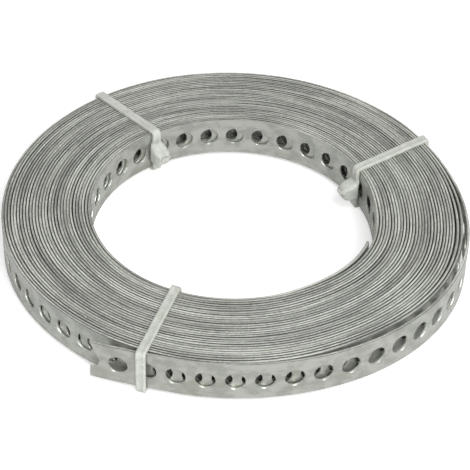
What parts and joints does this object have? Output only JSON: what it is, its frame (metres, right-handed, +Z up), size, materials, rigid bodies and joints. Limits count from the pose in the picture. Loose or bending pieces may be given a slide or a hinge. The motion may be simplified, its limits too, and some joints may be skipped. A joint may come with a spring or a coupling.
{
  "type": "roll of perforated metal strap",
  "caption": "Flat coil of perforated galvanised steel strap with a wide open bore, held by nylon cable ties, outer end slightly loose.",
  "frame": {"origin": "centre of the whole roll at the height of the surface it lies on; the axis of the coil stands 0.83 mm from it, towards -X, because of the bulge in the outermost turn", "axes": "+Z up along the axis of the coil; -Y is the front, where the outer end lies; +X to the right, seen from the front"},
  "size_m": [0.1292, 0.1276, 0.0142],
  "materials": {
    "galvanised_steel": "bright zinc coating, satin, finely streaked along the strap",
    "natural_nylon": "natural white nylon, slightly translucent, satin"
  },
  "bodies": {
    "root": {"perforated_strap": "galvanised_steel", "cable_tie_front": "natural_nylon", "cable_tie_left": "natural_nylon", "cable_tie_right": "natural_nylon"}
  },
  "joints": []
}
